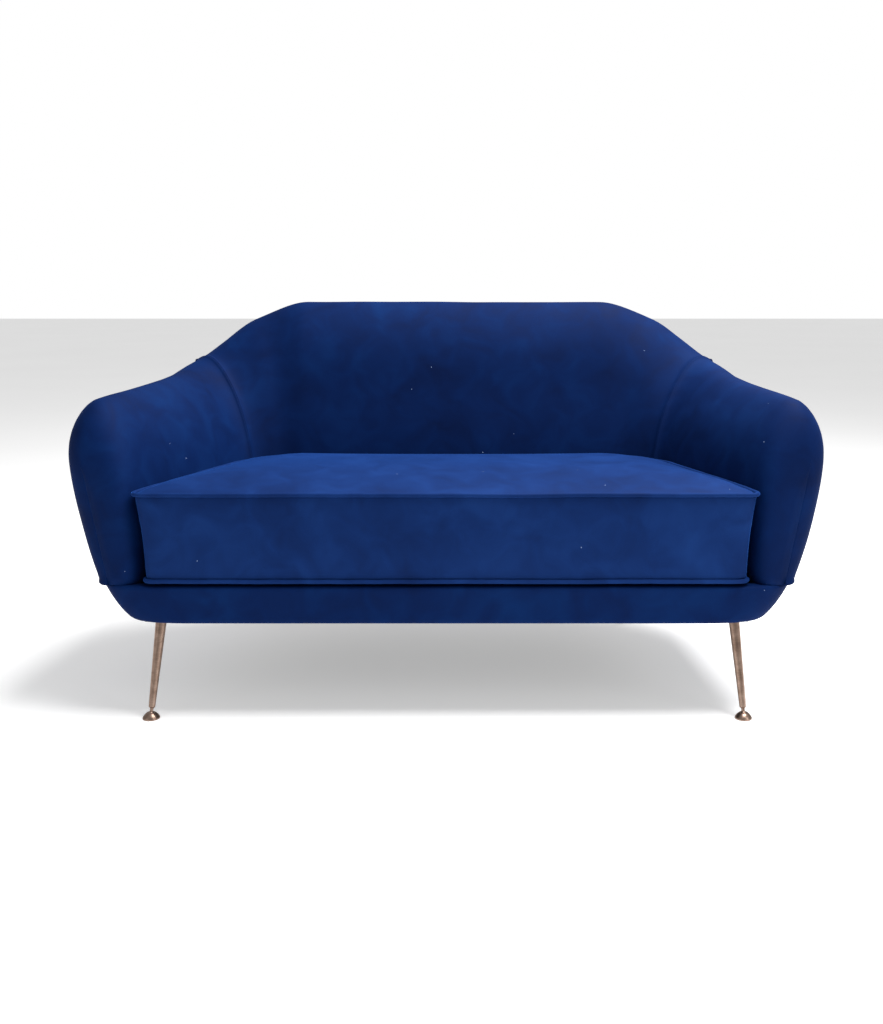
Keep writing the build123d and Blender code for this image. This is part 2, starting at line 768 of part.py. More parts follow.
with BuildPart() as staples:
    corners = [Vector(*corner) for corner in underside_outline(15)]
    for first, last in zip(corners, corners[1:]):
        run = last - first
        count = max(round(run.length / 60), 1)
        for step in range(count):
            spot = first + run * ((step + 0.5) / count)
            turn = -run.get_signed_angle(Vector(1, 0, 0))
            if min((spot - Vector(*top)).length for name, top, foot in leg_sites()) < PLATE:
                continue
            with Locations(Location((spot.X, spot.Y, BASE_BOTTOM - 1.45), (0, 0, turn))):
                Box(10, 1.2, 0.7)
    mirror(about=Plane.YZ)
save(staples, "staples")
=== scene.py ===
"""Looks of a curved two-seat velvet sofa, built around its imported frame.

Metres. +X is to the right seen from the front, the front faces -Y, +Z is up.
"""
import json
from math import cos, pi, radians, sin

import bmesh
import bpy
import numpy as np
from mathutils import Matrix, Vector, noise


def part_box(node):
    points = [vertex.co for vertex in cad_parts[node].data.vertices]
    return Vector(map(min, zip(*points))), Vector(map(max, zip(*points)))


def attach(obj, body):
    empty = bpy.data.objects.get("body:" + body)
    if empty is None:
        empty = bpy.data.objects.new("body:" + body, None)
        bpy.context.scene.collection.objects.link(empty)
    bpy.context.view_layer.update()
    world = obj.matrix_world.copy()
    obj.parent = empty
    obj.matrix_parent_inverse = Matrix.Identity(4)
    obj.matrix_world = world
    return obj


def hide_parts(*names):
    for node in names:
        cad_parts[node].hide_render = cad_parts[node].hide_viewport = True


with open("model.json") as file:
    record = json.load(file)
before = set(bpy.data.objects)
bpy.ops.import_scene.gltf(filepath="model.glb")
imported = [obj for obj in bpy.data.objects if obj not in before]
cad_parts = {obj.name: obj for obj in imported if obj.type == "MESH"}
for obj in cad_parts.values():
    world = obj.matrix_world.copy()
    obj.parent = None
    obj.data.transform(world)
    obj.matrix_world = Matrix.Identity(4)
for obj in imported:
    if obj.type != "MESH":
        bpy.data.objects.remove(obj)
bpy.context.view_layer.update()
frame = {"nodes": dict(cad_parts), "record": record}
scene = bpy.context.scene

# ---------------------------------------------------------------- driving dimensions
CORNER_X = 0.350        # half the straight run of the back; each corner turns about this point
CORNER_REACH = 0.30     # length along the shell that one radian of a corner counts for
SEAM_TURN = 50          # degrees round the corner at which back and arm panels meet
ARM_TURN = 74           # degrees through which the shell turns from back to arm
ARM_RUN = 0.345         # straight length of an arm after its corner
NOSE = 0.080            # how far the padded nose stands in front of the arm's last full section
BASE_BOTTOM = 0.2002
BORDER_TOP = 0.2755     # seam between the arms and the border under the cushion
BORDER_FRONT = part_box("border_cover")[0].y
PANEL_TOP = 0.500       # the outside arm panel's upper seam
PANEL_RUN = 0.290       # and its front seam, along the arm
TURN_IN = 0.024         # velvet turned in under the base

STEP = 0.011            # usual spacing of a panel's vertices
BACK_REACH = 0.14       # length down the back that one step of the section index counts for
ARM_REACH = 0.125       # the same on an arm
PANEL_DROP = 0.23       # length of the outside arm panel, down to the border's seam
COVER = 0.002           # thickness of the velvet with its lining
SEAM_DEPTH = 0.0035
SEAM_WIDTH = 0.0055
NOSE_END = 0.9995       # share of the nose at which its narrowest full row lies

# Upright sections of the shell, as (distance out from the plan line, height): up the inside,
# over the crest and down the outside. Index 4 is the crest.
MIDDLE = [(0.122, 0.275), (0.135, 0.450), (0.168, 0.620), (0.215, 0.755), (0.275, 0.806),
          (0.335, 0.758), (0.374, 0.580), (0.367, 0.380), (0.340, 0.250), (0.304, 0.200)]
SHOULDER = [(0.132, 0.275), (0.145, 0.450), (0.180, 0.602), (0.232, 0.714), (0.303, 0.765),
            (0.363, 0.718), (0.390, 0.562), (0.375, 0.380), (0.336, 0.250), (0.294, 0.200)]
SEAM = [(0.142, 0.275), (0.155, 0.450), (0.188, 0.554), (0.240, 0.634), (0.308, 0.678),
        (0.368, 0.640), (0.393, 0.530), (0.370, 0.380), (0.318, 0.250), (0.262, 0.200)]
ARM_BACK = [(0.141, 0.275), (0.150, 0.450), (0.174, 0.537), (0.222, 0.613), (0.280, 0.648),
            (0.334, 0.616), (0.361, 0.522), (0.338, 0.380), (0.286, 0.250), (0.225, 0.200)]
ARM_FRONT = [(0.146, 0.275), (0.152, 0.450), (0.165, 0.530), (0.196, 0.596), (0.238, 0.628),
             (0.277, 0.598), (0.294, 0.510), (0.275, 0.380), (0.230, 0.262), (0.182, 0.200)]
BACK_SEAM_INDEX = 4.5   # the back's upper seam, just behind the crest
LAST = len(MIDDLE) - 1

SEAM_S = CORNER_X + CORNER_REACH * radians(SEAM_TURN)
ARM_S = CORNER_X + CORNER_REACH * radians(ARM_TURN)
PANEL_S = ARM_S + PANEL_RUN
NOSE_S = ARM_S + ARM_RUN
KEYS = [0, CORNER_X, CORNER_X + CORNER_REACH * radians(25), SEAM_S, ARM_S, NOSE_S]
SECTIONS = [MIDDLE, MIDDLE, SHOULDER, SEAM, ARM_BACK, ARM_FRONT]


# ---------------------------------------------------------------- curves
def eased(keys, values, at):
    """Smooth value between keys that never overshoots them."""
    values = np.array(values, float)
    widths = np.diff(keys)
    slopes = (np.diff(values, axis=0).T / widths).T
    tangents = np.zeros_like(values)
    for i in range(1, len(keys) - 1):
        same = slopes[i - 1] * slopes[i] > 0
        total = np.where(same, slopes[i - 1] + slopes[i], 1)
        tangents[i] = np.where(same, 2 * slopes[i - 1] * slopes[i] / total, 0)
    tangents[-1] = slopes[-1]
    i = int(np.clip(np.searchsorted(keys, at) - 1, 0, len(keys) - 2))
    t = (at - keys[i]) / widths[i]
    return ((2 * t**3 - 3 * t**2 + 1) * values[i] + (t**3 - 2 * t**2 + t) * widths[i] * tangents[i]
            + (3 * t**2 - 2 * t**3) * values[i + 1] + (t**3 - t**2) * widths[i] * tangents[i + 1])


def through(points, at):
    """Places on a natural cubic spline through some points, at index values such as 2.5."""
    points = np.array(points, float)
    count = len(points)
    gaps = np.linalg.norm(np.diff(points, axis=0), axis=1)
    matrix = np.eye(count)
    right = np.zeros_like(points)
    for i in range(1, count - 1):
        matrix[i, i - 1:i + 2] = gaps[i - 1], 2 * (gaps[i - 1] + gaps[i]), gaps[i]
        ahead = (points[i + 1] - points[i]) / gaps[i]
        behind = (points[i] - points[i - 1]) / gaps[i - 1]
        right[i] = 6 * (ahead - behind)
    bend = np.linalg.solve(matrix, right)
    low = np.clip(np.floor(at).astype(int), 0, count - 2)
    b = (at - low)[:, None]
    a = 1 - b
    square = (gaps[low] ** 2)[:, None] / 6
    return (a * points[low] + b * points[low + 1]
            + ((a**3 - a) * bend[low] + (b**3 - b) * bend[low + 1]) * square)


def bezier(first, handle, other_handle, last, shares):
    """Places on a cubic Bezier curve."""
    t = np.array(shares, float)[:, None]
    ends = [np.array(p, float) for p in (first, handle, other_handle, last)]
    return ((1 - t)**3 * ends[0] + 3 * (1 - t)**2 * t * ends[1]
            + 3 * (1 - t) * t**2 * ends[2] + t**3 * ends[3])


def spaced(first, last, step, fine_first=True, fine_last=True):
    """Values from first to last, closer together next to a seam."""
    fine = [0.0015, 0.0032, 0.0052, 0.0075]
    low = [first + d for d in fine] if fine_first else []
    high = [last - d for d in reversed(fine)] if fine_last else []
    inner_first = first + (fine[-1] if fine_first else 0)
    inner_last = last - (fine[-1] if fine_last else 0)
    count = max(2, round((inner_last - inner_first) / step))
    inner = list(np.linspace(inner_first, inner_last, count + 1))[1:-1]
    return np.array([first, *low, *inner, *high, last])


# ---------------------------------------------------------------- shell
def plan_frame(s):
    """(origin, outward, forward) of the upright plane across the shell at s, seen from above."""
    side = -1 if s < 0 else 1
    turn = radians(ARM_TURN) * np.clip((abs(s) - CORNER_X) / (ARM_S - CORNER_X), 0, 1)
    out = np.array([side * sin(turn), cos(turn)])
    forward = np.array([side * cos(turn), -sin(turn)])
    along = min(abs(s), CORNER_X) if turn == 0 else max(abs(s) - ARM_S, 0)
    start = np.array([side * CORNER_X if turn else 0.0, 0.0])
    return start + forward * along, out, forward


def section(s, at):
    """(out, up) of the shell's section at s, at index values."""
    return through(eased(KEYS, SECTIONS, min(abs(s), NOSE_S)), at)


def index_at_height(s, height):
    """Index at which the outside of the section at s comes down to a height."""
    at = np.linspace(6, LAST, 200)
    heights = section(s, at)[:, 1]
    return float(np.interp(-height, -heights, at))


def placed(s, out_up, along=0.0):
    """Points of a section, in the sofa's frame."""
    origin, out, forward = plan_frame(s)
    flat = origin + out_up[:, :1] * out + np.reshape(along, (-1, 1)) * forward
    return np.column_stack([flat, out_up[:, 1]])


def nose(side, at, share):
    """Points of the arm's rounded front.

    share is 0 at the last full section and 1 at the foremost line.
    """
    full = section(NOSE_S, at)
    up = full[:, 1]
    spine_up = np.minimum(up, 0.45) + 0.28 * np.maximum(up - 0.45, 0)
    middle = 0.198 + 0.18 * (spine_up - 0.275)
    square = np.interp(at, [0, 1.5, 4, 9], [5.0, 4.0, 2.4, 2.3])
    width = (1 - share ** square) ** (1 / square)
    tall = (1 - share**2) ** 0.5
    bent = np.column_stack([middle + (full[:, 0] - middle) * width,
                            spine_up + (up - spine_up) * tall])
    return placed(side * NOSE_S, bent, np.full(len(at), NOSE * share))


# ---------------------------------------------------------------- mesh helpers
def mesh_object(name, vertices, faces):
    """New smooth-shaded mesh piece, linked into the scene."""
    mesh = bpy.data.meshes.new(name)
    mesh.from_pydata([tuple(v) for v in vertices], [], faces)
    mesh.validate()
    mesh.shade_smooth()
    piece = bpy.data.objects.new(name, mesh)
    scene.collection.objects.link(piece)
    return piece


def grid_normals(points):
    """Unit normals of a grid of points."""
    across = np.gradient(points, axis=0)
    down = np.gradient(points, axis=1)
    normal = np.cross(down, across)
    length = np.linalg.norm(normal, axis=2, keepdims=True)
    return normal / np.maximum(length, 1e-12)


def softened(points, normals, amount):
    """Slight unevenness of a hand-covered surface, along its normals."""
    moved = points.copy()
    for index in np.ndindex(points.shape[:2]):
        place = Vector(points[index])
        wave = noise.noise(place * 4.5) + 0.5 * noise.noise(place * 11)
        moved[index] += normals[index] * amount * wave
    return moved


def seam_roll(distance):
    """How far velvet dips at a distance from its seam."""
    return SEAM_DEPTH * np.exp(-(distance / SEAM_WIDTH) ** 2)


def grid_faces(rows, columns, keep=None, flip=False):
    """Quads of a grid of vertices, of those cells that keep(row, column) allows."""
    faces = []
    for i in range(rows - 1):
        for j in range(columns - 1):
            if keep is None or keep(i, j):
                here, below = i * columns + j, (i + 1) * columns + j
                quad = (here, here + 1, below + 1, below)
                faces.append(quad[::-1] if flip else quad)
    return faces


def tidy_mesh(piece):
    """Merge doubled vertices and drop those without a face."""
    work = bmesh.new()
    work.from_mesh(piece.data)
    bmesh.ops.remove_doubles(work, verts=work.verts, dist=1e-6)
    bmesh.ops.dissolve_degenerate(work, edges=work.edges, dist=1e-7)
    loose = [v for v in work.verts if not v.link_faces]
    bmesh.ops.delete(work, geom=loose, context="VERTS")
    work.to_mesh(piece.data)
    work.free()
    piece.data.shade_smooth()


def thick(piece, depth=COVER):
    """Give an open skin its thickness, inwards."""
    shell = piece.modifiers.new("thickness", "SOLIDIFY")
    shell.thickness = depth
    shell.offset = -1


def under_edge(grid, normals_out):
    """Rows that turn a lower edge in under the base. grid's last column is that edge."""
    rows = []
    for inset, drop in [(0.0012, 0.0022), (0.0042, 0.0042), (0.009, 0.0048), (TURN_IN, 0.0048)]:
        row = grid[:, -1] - normals_out * inset
        row[:, 2] = grid[:, -1][:, 2] - drop
        rows.append(row)
    return np.stack(rows, axis=1)


# ---------------------------------------------------------------- shell panels
def seam_shift(at):
    """The back's side seams bow towards the middle of the sofa between seat and crest."""
    return -0.008 * np.sin(pi * np.clip((at - 0.5) / 3.8, 0, 1))


def back_grid(at_values):
    """Grid across the whole back between its two side seams."""
    shares = spaced(-SEAM_S, SEAM_S, STEP) / SEAM_S
    grid = np.zeros((len(shares), len(at_values), 3))
    for j, at in enumerate(at_values):
        reach = SEAM_S + float(seam_shift(at))
        for i, share in enumerate(shares):
            s = share * reach
            grid[i, j] = placed(s, section(s, np.array([at])))[0]
    return grid


def run_lengths(grid, axis):
    """Distance along the grid's lines from their first end, and from their last."""
    steps = np.linalg.norm(np.diff(grid, axis=axis), axis=2)
    zero = np.zeros((1, grid.shape[1]) if axis == 0 else (grid.shape[0], 1))
    first = np.concatenate([zero, np.cumsum(steps, axis=axis)], axis=axis)
    total = first[-1:] if axis == 0 else first[:, -1:]
    return first, total - first


def index_steps(first, last, metres_per_index, fine_first, fine_last):
    """Index values down a section, closer together next to a seam."""
    values = spaced(first * metres_per_index, last * metres_per_index, STEP, fine_first, fine_last)
    return values / metres_per_index


def outward_flat(s_values):
    """Horizontal outward direction at each position along the shell."""
    return np.array([[*plan_frame(s)[1], 0.0] for s in s_values])


def lifted_foot(grid):
    """A panel whose last few centimetres rise a little to meet the turned-in edge."""
    grid[:, :, 2] += 0.005 * np.clip((0.26 - grid[:, :, 2]) / 0.06, 0, 1)
    return grid


def inside_back():
    """Back panel from the deck over the crest to its upper seam."""
    at_values = index_steps(0, BACK_SEAM_INDEX, BACK_REACH, False, True)
    grid = back_grid(at_values)
    normals = grid_normals(grid)
    left, right = run_lengths(grid, 0)
    _, top = run_lengths(grid, 1)
    grid = softened(grid, normals, 0.0011)
    dip = seam_roll(left) + seam_roll(right) + seam_roll(top)
    grid = grid - normals * dip[..., None]
    faces = grid_faces(*grid.shape[:2])
    piece = mesh_object("back_inside_velvet", grid.reshape(-1, 3), faces)
    tidy_mesh(piece)
    return piece


def outside_back():
    """Back panel from the upper seam down and in under the base."""
    at_values = index_steps(BACK_SEAM_INDEX, LAST, BACK_REACH, True, False)
    grid = back_grid(at_values)
    normals = grid_normals(grid)
    left, right = run_lengths(grid, 0)
    top, _ = run_lengths(grid, 1)
    grid = softened(grid, normals, 0.0013)
    dip = seam_roll(left) + seam_roll(right) + seam_roll(top)
    grid = grid - normals * dip[..., None]
    shares = spaced(-SEAM_S, SEAM_S, STEP)
    out = outward_flat(shares)
    grid = lifted_foot(grid)
    grid = np.concatenate([grid, under_edge(grid, out)], axis=1)
    faces = grid_faces(*grid.shape[:2])
    piece = mesh_object("back_outside_velvet", grid.reshape(-1, 3), faces)
    tidy_mesh(piece)
    return piece


def arm_columns():
    """Shares down an arm's section: to the panel's upper seam, to the border's seam, to the base.

    Their number is fixed, so that every station has the same columns.
    """
    count = round(6.2 * ARM_REACH / STEP)
    upper = np.concatenate([np.linspace(0, 1, count + 1)[:-1], [0.990, 0.9935, 0.9968, 0.9985, 1]])
    upper = np.unique(np.round(upper, 5))
    lower = spaced(0, PANEL_DROP, STEP) / PANEL_DROP
    base = np.linspace(0, 1, 9)[1:]
    return upper, lower, base


def arm(side):
    """Inside and outside panels of one arm."""
    upper, lower, base = arm_columns()
    panel_column = len(upper) - 1
    border_column = panel_column + len(lower) - 1
    to_panel = spaced(SEAM_S, PANEL_S, STEP)
    to_nose = spaced(PANEL_S, NOSE_S, STEP, True, False)
    along = [*to_panel, *to_nose[1:]]
    panel_row = len(to_panel) - 1
    shares = np.sin(np.linspace(0, pi / 2, 15)[1:]) ** 0.9
    rows = []
    for s in along:
        first = index_at_height(s, PANEL_TOP)
        second = index_at_height(s, BORDER_TOP)
        at = np.concatenate([upper * first, first + lower[1:] * (second - first),
                             second + base * (LAST - second)])
        start_shift = np.interp(s, [SEAM_S, SEAM_S + 0.10], [1, 0])
        row = []
        for a in at:
            shifted = s + float(seam_shift(a)) * start_shift
            row.append(placed(side * shifted, section(shifted, np.array([a])))[0])
        rows.append(np.array(row))
    for share in [*shares[:-1], NOSE_END, 1.0]:
        rows.append(nose(side, at, share))
    grid = np.array(rows)
    normals = grid_normals(grid)
    if side < 0:
        normals = -normals
    grid = softened(grid, normals, 0.0012)
    row_length, _ = run_lengths(grid, 0)
    column_length, _ = run_lengths(grid, 1)
    dip = seam_roll(row_length)
    to_panel_top = np.abs(column_length - column_length[:, panel_column:panel_column + 1])
    to_panel_front = np.abs(row_length - row_length[panel_row:panel_row + 1])
    behind = np.arange(len(grid)) <= panel_row
    below = np.arange(grid.shape[1]) >= panel_column
    top_seam = np.where(behind[:, None], to_panel_top, np.hypot(to_panel_top, to_panel_front))
    front_seam = np.where(below[None, :], to_panel_front, 1.0)
    dip = dip + seam_roll(np.minimum(top_seam, front_seam))
    to_border = np.abs(column_length - column_length[:, border_column:border_column + 1])
    dip = dip + np.where(behind[:, None], 0, seam_roll(to_border))
    grid = grid - normals * dip[..., None]
    columns = grid.shape[1]
    name = "right" if side > 0 else "left"
    flip = side < 0
    faces = grid_faces(len(grid), columns,
                       lambda i, j: j < panel_column or (i >= panel_row and j < border_column), flip)
    underside = grid[panel_row:, [0, border_column]] - [0, 0, 0.0003]
    first = grid.shape[0] * columns
    for quad in grid_faces(len(underside), 2, None, not flip):
        faces.append(tuple(first + corner for corner in quad))
    inside = mesh_object(f"arm_inside_velvet_{name}",
                         np.concatenate([grid.reshape(-1, 3), underside.reshape(-1, 3)]), faces)
    tidy_mesh(inside)
    lower_grid = lifted_foot(grid[:panel_row + 1, panel_column:].copy())
    out = outward_flat([side * s for s in along[:panel_row + 1]])
    lower_grid = np.concatenate([lower_grid, under_edge(lower_grid, out)], axis=1)
    outside = mesh_object(f"arm_outside_velvet_{name}", lower_grid.reshape(-1, 3),
                          grid_faces(*lower_grid.shape[:2], None, flip))
    tidy_mesh(outside)
    return inside, outside


# ---------------------------------------------------------------- border under the cushion
BORDER_HALF = [(0.605, 0.200), (0.647, 0.226), (0.676, 0.2755)]     # (half width, height)


def border_plan(height):
    """Right half of the border's outline at a height, from its back end to the middle of the front."""
    curve = through(BORDER_HALF, np.linspace(0, 2, 60))
    half = float(np.interp(height, curve[:, 1], curve[:, 0]))
    points = []
    for along in np.linspace(PANEL_RUN, ARM_RUN, 7):
        s = ARM_S + along
        spot = section(s, np.array([index_at_height(s, height)]))[:1]
        points.append(placed(s, np.array([[spot[0, 0], height]]))[0, :2])
    _, _, forward = plan_frame(NOSE_S)
    last = points[-1]
    corner_end = half - 0.105
    corner = bezier(last, last + forward * 0.082, (half - 0.028, BORDER_FRONT), (corner_end, BORDER_FRONT),
                    np.linspace(0, 1, 20)[1:])
    straight = [(x, BORDER_FRONT) for x in np.linspace(corner_end, 0, 50)[1:-1]]
    return np.array([*points, *corner, *straight])


def border():
    """Upholstered border round the front of the base."""
    arc = 0.0075
    profile = [(0.030, BORDER_TOP - 0.0006), (0.018, BORDER_TOP - 0.0005)]
    profile += [(arc - arc * sin(a), BORDER_TOP - arc + arc * cos(a))
                for a in np.linspace(0, pi / 2, 6)]
    low = BASE_BOTTOM + 0.009
    profile += [(0, z) for z in np.linspace(BORDER_TOP - arc, low, 9)[1:]]
    profile += [(0.009 - 0.009 * cos(a), low - 0.009 * sin(a)) for a in np.linspace(0, pi / 2, 6)[1:]]
    profile += [(0.018, BASE_BOTTOM), (0.009 + TURN_IN, BASE_BOTTOM)]
    columns = []
    for inset, height in profile:
        half = border_plan(height)
        mirrored = half[::-1] * [-1, 1]
        line = np.concatenate([half, [[0, BORDER_FRONT]], mirrored])
        along = np.gradient(line, axis=0)
        normal = np.column_stack([along[:, 1], -along[:, 0]])
        normal /= np.linalg.norm(normal, axis=1, keepdims=True)
        columns.append(np.column_stack([line + normal * inset, np.full(len(line), height)]))
    grid = np.array(columns).transpose(1, 0, 2)
    normals = -grid_normals(grid)
    grid[:, 4:-4] = softened(grid[:, 4:-4], normals[:, 4:-4], 0.0010)
    faces = grid_faces(*grid.shape[:2], None, True)
    piece = mesh_object("border_velvet", grid.reshape(-1, 3), faces)
    tidy_mesh(piece)
    return piece


# ---------------------------------------------------------------- cushion
cushion_low, cushion_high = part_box("cushion_border")
PIPE_TOP = (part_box("piping_top")[0].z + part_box("piping_top")[1].z) / 2
PIPE_LOW = (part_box("piping_bottom")[0].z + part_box("piping_bottom")[1].z) / 2
PIPE_R = 0.0043
PIPE_OUT = 0.0012       # how far a piping's middle stands outside the cover
WAIST = 0.022           # how much narrower the cushion is at its foot, as a share of its width
CUSHION_CORNERS = [(cushion_high.x + 0.005, cushion_low.y), (0.582, -0.290),
                   (0.480, 0.040), (0.398, cushion_high.y)]
CUSHION_RADII = [0.018, 0.30, 0.10, 0.060]


def rounded_outline(corners, radii, step):
    """Closed outline with rounded corners, as evenly spaced points."""
    corners = [np.array(c, float) for c in corners]
    count = len(corners)
    points = []
    for i, radius in enumerate(radii):
        here, before, after = corners[i], corners[i - 1], corners[(i + 1) % count]
        to_before = (before - here) / np.linalg.norm(before - here)
        to_after = (after - here) / np.linalg.norm(after - here)
        half = np.arccos(np.clip(to_before @ to_after, -1, 1)) / 2
        shorter = min(np.linalg.norm(before - here), np.linalg.norm(after - here))
        reach = min(radius / np.tan(half), 0.45 * shorter)
        curve = bezier(here + to_before * reach, here + to_before * reach * 0.45,
                       here + to_after * reach * 0.45, here + to_after * reach, np.linspace(0, 1, 14))
        points.extend(curve)
    points = np.array(points + [points[0]])
    gaps = np.linalg.norm(np.diff(points, axis=0), axis=1)
    lengths = np.concatenate([[0], np.cumsum(gaps)])
    even = np.linspace(0, lengths[-1], round(lengths[-1] / step) + 1)[:-1]
    return np.column_stack([np.interp(even, lengths, points[:, i]) for i in (0, 1)])


def cushion_outline(step):
    """Plan of the cushion, anticlockwise."""
    left = [(-x, y) for x, y in reversed(CUSHION_CORNERS)]
    return rounded_outline(CUSHION_CORNERS + left, CUSHION_RADII + CUSHION_RADII[::-1], step)


def inward(outline):
    """Unit normals of a closed outline, pointing into it."""
    along = np.roll(outline, -1, axis=0) - np.roll(outline, 1, axis=0)
    normal = np.column_stack([-along[:, 1], along[:, 0]])
    return normal / np.linalg.norm(normal, axis=1, keepdims=True)


def outline_inset(outline, depth):
    """An outline drawn in by a depth."""
    return outline + inward(outline) * depth


def height_share(points):
    """How far up each point lies from the lower piping to the upper one, from 0 to 1."""
    return np.clip((points[:, 2] - PIPE_LOW) / (PIPE_TOP - PIPE_LOW), 0, 1)


def cushion_taper(points):
    """Narrow the cushion towards its foot, and pull its front corners in at mid height."""
    share = height_share(points)
    pull = np.sin(pi * share)
    sideways = np.clip((np.abs(points[:, 0]) - 0.50) / 0.10, 0, 1)
    corner = sideways * np.clip((-0.20 - points[:, 1]) / 0.12, 0, 1)
    points = points.copy()
    points[:, 0] *= 1 - WAIST * (1 - share) - 0.006 * pull * corner
    return points


def cushion_form():
    """Closed form of the cushion before it is filled."""
    outline = cushion_outline(0.012)
    rings = [(0.002, PIPE_LOW), (0.0, PIPE_LOW + 0.004)]
    rings += [(-0.0005, z) for z in np.linspace(PIPE_LOW + 0.012, PIPE_TOP - 0.012, 12)]
    rings += [(0.0, PIPE_TOP - 0.004), (0.002, PIPE_TOP)]
    rings += [(inset, PIPE_TOP + 0.024 * (1 - (1 - min(inset / 0.17, 1)) ** 3)) for inset in
              (0.008, 0.016, 0.028, 0.044, 0.064, 0.09, 0.12, 0.15, 0.17)]
    vertices = []
    count = len(outline)
    for inset, height in rings:
        line = outline_inset(outline, inset)
        if inset > 0.03:
            centre = np.array([0.0, (cushion_low.y + cushion_high.y) / 2])
            spare = 1 - np.array([inset / 0.62, inset / 0.27])
            line = centre + (outline - centre) * spare
        vertices.extend(np.column_stack([line, np.full(count, height)]))
    faces = []
    for ring in range(len(rings) - 1):
        for i in range(count):
            j = (i + 1) % count
            low, high = ring * count, (ring + 1) * count
            faces.append((low + i, low + j, high + j, high + i))
    faces.append(tuple(range(count))[::-1])
    faces.append(tuple((len(rings) - 1) * count + i for i in range(count)))
    vertices = cushion_taper(np.array(vertices))
    return vertices, faces


def applied(piece):
    """Swap a piece's mesh for the one its modifiers make."""
    graph = bpy.context.evaluated_depsgraph_get()
    mesh = bpy.data.meshes.new_from_object(piece.evaluated_get(graph))
    piece.modifiers.clear()
    old = piece.data
    piece.data = mesh
    bpy.data.meshes.remove(old)


def coordinates(piece):
    """A mesh's vertices as an array."""
    values = np.zeros(len(piece.data.vertices) * 3, np.float32)
    piece.data.vertices.foreach_get("co", values)
    return values.reshape(-1, 3).astype(float)


def set_coordinates(piece, points):
    """Move a mesh's vertices to new places."""
    piece.data.vertices.foreach_set("co", points.astype(np.float32).ravel())
    piece.data.update()


def outline_distance(points):
    """How far inside the cushion's outline each point lies, with the taper taken out."""
    flat = points[:, :2].copy()
    flat[:, 0] /= 1 - WAIST * (1 - height_share(points))
    outline = cushion_outline(0.012)
    normal = inward(outline)
    inside = np.zeros(len(flat))
    batch = 4000
    for start in range(0, len(flat), batch):
        block = flat[start:start + batch]
        gaps = block[:, None, :] - outline[None, :, :]
        nearest = np.argmin((gaps ** 2).sum(axis=2), axis=1)
        rows = np.arange(len(block))
        inside[start:start + batch] = (gaps[rows, nearest] * normal[nearest]).sum(axis=1)
    return inside


CUSHION_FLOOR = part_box("deck_cloth")[1].z + 0.0015
PUFF = 0.024            # most that the filling may push the cover out


def filled_cushion():
    """The cushion's cover, sewn along its two piped seams and pushed out by its filling."""
    vertices, faces = cushion_form()
    piece = mesh_object("seat_cushion_cover", vertices, faces)
    tidy_mesh(piece)
    remesh = piece.modifiers.new("even", "REMESH")
    remesh.mode = "VOXEL"
    remesh.voxel_size = 0.007
    applied(piece)
    start = coordinates(piece)
    inside = outline_distance(start)
    near_top = np.abs(start[:, 2] - PIPE_TOP) < 0.008
    near_low = np.abs(start[:, 2] - PIPE_LOW) < 0.007
    sewn = piece.vertex_groups.new(name="sewn")
    for i in np.nonzero((near_top | near_low) & (inside < 0.009))[0]:
        sewn.add([int(i)], 1.0, "REPLACE")
    cloth = piece.modifiers.new("filling", "CLOTH")
    cloth.settings.quality = 5
    cloth.settings.mass = 0.3
    cloth.settings.tension_stiffness = 20
    cloth.settings.compression_stiffness = 20
    cloth.settings.shear_stiffness = 8
    cloth.settings.bending_stiffness = 2
    cloth.settings.use_pressure = True
    cloth.settings.uniform_pressure_force = 4
    cloth.settings.vertex_group_mass = "sewn"
    cloth.settings.effector_weights.gravity = 0
    for frame_number in range(1, 21):
        scene.frame_set(frame_number)
    applied(piece)
    scene.frame_set(1)
    piece.vertex_groups.clear()
    moved = coordinates(piece) - start
    length = np.linalg.norm(moved, axis=1, keepdims=True)
    start = start + moved * (PUFF * np.tanh(length / PUFF) / np.maximum(length, 1e-9))
    finer = piece.modifiers.new("finer", "SUBSURF")
    finer.levels = finer.render_levels = 1
    set_coordinates(piece, start)
    applied(piece)
    points = coordinates(piece)
    inside = outline_distance(points)
    room = np.interp(points[:, 1], [-0.372, -0.35, -0.30], [0.010, 0.006, 0.0022])
    spill = np.maximum(-inside - room, 0)
    centre = np.array([0.0, -0.10])
    away = points[:, :2] - centre
    away /= np.maximum(np.linalg.norm(away, axis=1, keepdims=True), 1e-9)
    points[:, :2] -= away * spill[:, None]
    points[:, 2] = np.maximum(points[:, 2], CUSHION_FLOOR)
    set_coordinates(piece, points)
    piece.data.shade_smooth()
    return piece


def cushion_piping(name, height, node):
    """Velvet-covered cord sewn along an edge of the cushion."""
    outline = outline_inset(cushion_outline(0.009), -PIPE_OUT)
    line = cushion_taper(np.column_stack([outline, np.full(len(outline), height)]))
    curve = bpy.data.curves.new(name, "CURVE")
    curve.dimensions = "3D"
    curve.bevel_depth = PIPE_R
    curve.bevel_resolution = 4
    curve.resolution_u = 3
    spline = curve.splines.new("NURBS")
    spline.points.add(len(line) - 1)
    for point, place in zip(spline.points, line):
        wave = noise.noise(Vector(place) * 7) * 0.0012 + noise.noise(Vector(place) * 30) * 0.0004
        point.co = (place[0], place[1], place[2] + wave, 1)
    spline.order_u = 3
    spline.use_cyclic_u = True
    line_object = bpy.data.objects.new(name + "_line", curve)
    scene.collection.objects.link(line_object)
    graph = bpy.context.evaluated_depsgraph_get()
    mesh = bpy.data.meshes.new_from_object(line_object.evaluated_get(graph))
    bpy.data.objects.remove(line_object)
    piece = bpy.data.objects.new(name, mesh)
    scene.collection.objects.link(piece)
    mesh.shade_smooth()
    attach(piece, "cushion")
    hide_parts(node)
    return piece


